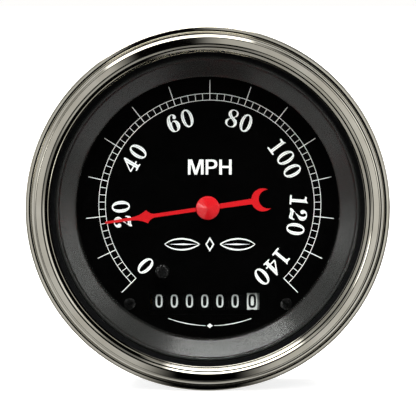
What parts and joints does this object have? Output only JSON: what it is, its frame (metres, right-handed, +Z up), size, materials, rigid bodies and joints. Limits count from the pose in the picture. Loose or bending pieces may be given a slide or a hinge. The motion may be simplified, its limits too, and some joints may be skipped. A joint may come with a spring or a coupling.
{
  "type": "speedometer",
  "caption": "Round dashboard speedometer with a stepped chrome bezel, black dial, red pointer with a crescent tail, a drum odometer and a magnetic cable-driven movement.",
  "frame": {"origin": "on the gauge's axis, in the plane of the panel face that the bezel rests on", "axes": "+X to the right and +Z up as seen by the driver, +Y back into the dashboard along the gauge axis"},
  "size_m": [0.093, 0.0793, 0.093],
  "materials": {
    "chrome": "polished chrome plate on a spun brass ring",
    "window_glass": "flat clear glass",
    "rubber_black": "moulded rubber",
    "shroud_paint": "satin black enamel on pressed steel",
    "dial_paint": "matt black dial enamel on aluminium",
    "screw_black": "black oxide steel",
    "stop_rubber": "black rubber sleeve on a pin",
    "pointer_red": "signal red paint on aluminium",
    "ground_steel": "ground steel bar",
    "cup_aluminium": "spun aluminium",
    "brass": "turned brass",
    "spring_steel": "spring strip",
    "pressed_steel": "zinc plated pressed steel",
    "plated_steel": "zinc plated turned steel",
    "die_cast_zinc": "grey die casting",
    "worm_steel": "cut and hardened steel",
    "magnet_iron": "sintered magnet",
    "white_nylon": "moulded nylon",
    "wheel_black": "moulded black plastic with white numerals",
    "wheel_white": "moulded white plastic with black numerals",
    "can_steel": "zinc plated drawn steel",
    "lamp_plastic": "moulded black plastic",
    "bulb_glass": "blown glass"
  },
  "bodies": {
    "case": {"bezel": "chrome", "lens": "window_glass", "lens_gasket": "rubber_black", "shroud_ring": "shroud_paint", "dial": "dial_paint", "dial_screws": "screw_black", "pointer_stop": "stop_rubber", "mainframe": "die_cast_zinc", "bridge_plate": "pressed_steel", "bridge_bush": "brass", "bridge_screws": "plated_steel", "spring_regulator": "brass", "field_cup": "pressed_steel", "shaft_bushes": "brass", "cross_bushes": "brass", "idler_post": "ground_steel", "odometer_axle": "ground_steel", "carry_axle": "ground_steel", "axle_clips": "spring_steel", "wheel_spacers": "brass", "case_can": "can_steel", "cable_ferrule": "plated_steel", "bracket_studs": "plated_steel", "frame_screws": "plated_steel", "lamp_holders": "lamp_plastic", "lamp_bulbs": "bulb_glass"},
    "pointer_group": {"pointer": "pointer_red", "pointer_cap": "pointer_red", "pointer_spindle": "ground_steel", "speed_cup": "cup_aluminium", "hairspring_collet": "brass", "hairspring": "spring_steel"},
    "input_group": {"input_shaft": "ground_steel", "drive_worm": "worm_steel", "magnet_hub": "brass", "drag_magnet": "magnet_iron"},
    "cross_group": {"cross_shaft": "ground_steel", "cross_worm_wheel": "white_nylon", "cross_worm": "worm_steel"},
    "layshaft_group": {"layshaft": "ground_steel", "layshaft_worm_wheel": "white_nylon", "layshaft_pinion": "white_nylon"},
    "idler": {"idler_gear": "white_nylon"},
    "tenths": {"tenths_wheel": "wheel_white"},
    "miles_1": {"mile_wheel_1": "wheel_black"},
    "carry_1": {"carry_pinion_1": "white_nylon"},
    "miles_2": {"mile_wheel_2": "wheel_black"},
    "carry_2": {"carry_pinion_2": "white_nylon"},
    "miles_3": {"mile_wheel_3": "wheel_black"},
    "carry_3": {"carry_pinion_3": "white_nylon"},
    "miles_4": {"mile_wheel_4": "wheel_black"},
    "carry_4": {"carry_pinion_4": "white_nylon"},
    "miles_5": {"mile_wheel_5": "wheel_black"},
    "carry_5": {"carry_pinion_5": "white_nylon"},
    "miles_6": {"mile_wheel_6": "wheel_black"},
    "carry_6": {"carry_pinion_6": "white_nylon"}
  },
  "joints": [
    {"name": "pointer_swing", "type": "hinge", "parent": "case", "child": "pointer_group", "pos_m": [0, 0.0032, 0], "axis": [0, 1, 0], "range_deg": [-39.5, 306.5], "stiffness_Nm_per_rad": 0.0001, "springref_deg": -51.57, "deforming": ["hairspring"]},
    {"name": "input_spin", "type": "hinge", "parent": "case", "child": "input_group", "pos_m": [0, 0.04, 0], "axis": [0, 1, 0], "continuous": true},
    {"name": "cross_spin", "type": "hinge", "parent": "case", "child": "cross_group", "pos_m": [0.0082, 0.03915, 0], "axis": [0, 0, 1], "continuous": true},
    {"name": "layshaft_spin", "type": "hinge", "parent": "case", "child": "layshaft_group", "pos_m": [0.0082, 0.0297, -0.0247], "axis": [1, 0, 0], "continuous": true},
    {"name": "idler_spin", "type": "hinge", "parent": "case", "child": "idler", "pos_m": [0.014, 0.0237, -0.0247], "axis": [1, 0, 0], "continuous": true},
    {"name": "tenths_spin", "type": "hinge", "parent": "case", "child": "tenths", "pos_m": [0.01087, 0.0147, -0.0247], "axis": [1, 0, 0], "continuous": true},
    {"name": "miles_6_spin", "type": "hinge", "parent": "case", "child": "miles_6", "pos_m": [0.00672, 0.0147, -0.0247], "axis": [1, 0, 0], "continuous": true},
    {"name": "carry_6_spin", "type": "hinge", "parent": "case", "child": "carry_6", "pos_m": [0.00867, 0.01985, -0.02985], "axis": [1, 0, 0], "continuous": true},
    {"name": "miles_5_spin", "type": "hinge", "parent": "case", "child": "miles_5", "pos_m": [0.00282, 0.0147, -0.0247], "axis": [1, 0, 0], "continuous": true},
    {"name": "carry_5_spin", "type": "hinge", "parent": "case", "child": "carry_5", "pos_m": [0.00477, 0.01985, -0.02985], "axis": [1, 0, 0], "continuous": true},
    {"name": "miles_4_spin", "type": "hinge", "parent": "case", "child": "miles_4", "pos_m": [-0.00108, 0.0147, -0.0247], "axis": [1, 0, 0], "continuous": true},
    {"name": "carry_4_spin", "type": "hinge", "parent": "case", "child": "carry_4", "pos_m": [0.00087, 0.01985, -0.02985], "axis": [1, 0, 0], "continuous": true},
    {"name": "miles_3_spin", "type": "hinge", "parent": "case", "child": "miles_3", "pos_m": [-0.00498, 0.0147, -0.0247], "axis": [1, 0, 0], "continuous": true},
    {"name": "carry_3_spin", "type": "hinge", "parent": "case", "child": "carry_3", "pos_m": [-0.00303, 0.01985, -0.02985], "axis": [1, 0, 0], "continuous": true},
    {"name": "miles_2_spin", "type": "hinge", "parent": "case", "child": "miles_2", "pos_m": [-0.00888, 0.0147, -0.0247], "axis": [1, 0, 0], "continuous": true},
    {"name": "carry_2_spin", "type": "hinge", "parent": "case", "child": "carry_2", "pos_m": [-0.00693, 0.01985, -0.02985], "axis": [1, 0, 0], "continuous": true},
    {"name": "miles_1_spin", "type": "hinge", "parent": "case", "child": "miles_1", "pos_m": [-0.01278, 0.0147, -0.0247], "axis": [1, 0, 0], "continuous": true},
    {"name": "carry_1_spin", "type": "hinge", "parent": "case", "child": "carry_1", "pos_m": [-0.01083, 0.01985, -0.02985], "axis": [1, 0, 0], "continuous": true}
  ],
  "couplings": [
    {"joint": "cross_spin", "follows": "input_spin", "ratio": -0.05},
    {"joint": "layshaft_spin", "follows": "input_spin", "ratio": 0.002},
    {"joint": "idler_spin", "follows": "input_spin", "ratio": -0.002},
    {"joint": "tenths_spin", "follows": "input_spin", "ratio": 0.001},
    {"joint": "miles_6_spin", "follows": "input_spin", "ratio": 0.0001},
    {"joint": "carry_6_spin", "follows": "input_spin", "ratio": -0.00025},
    {"joint": "miles_5_spin", "follows": "input_spin", "ratio": 0.00001},
    {"joint": "carry_5_spin", "follows": "input_spin", "ratio": -0.000025},
    {"joint": "miles_4_spin", "follows": "input_spin", "ratio": 0.000001},
    {"joint": "carry_4_spin", "follows": "input_spin", "ratio": -0.0000025},
    {"joint": "miles_3_spin", "follows": "input_spin", "ratio": 0.0000001},
    {"joint": "carry_3_spin", "follows": "input_spin", "ratio": -0.00000025},
    {"joint": "miles_2_spin", "follows": "input_spin", "ratio": 0.00000001},
    {"joint": "carry_2_spin", "follows": "input_spin", "ratio": -0.000000025},
    {"joint": "miles_1_spin", "follows": "input_spin", "ratio": 0.000000001},
    {"joint": "carry_1_spin", "follows": "input_spin", "ratio": -0.0000000025}
  ]
}
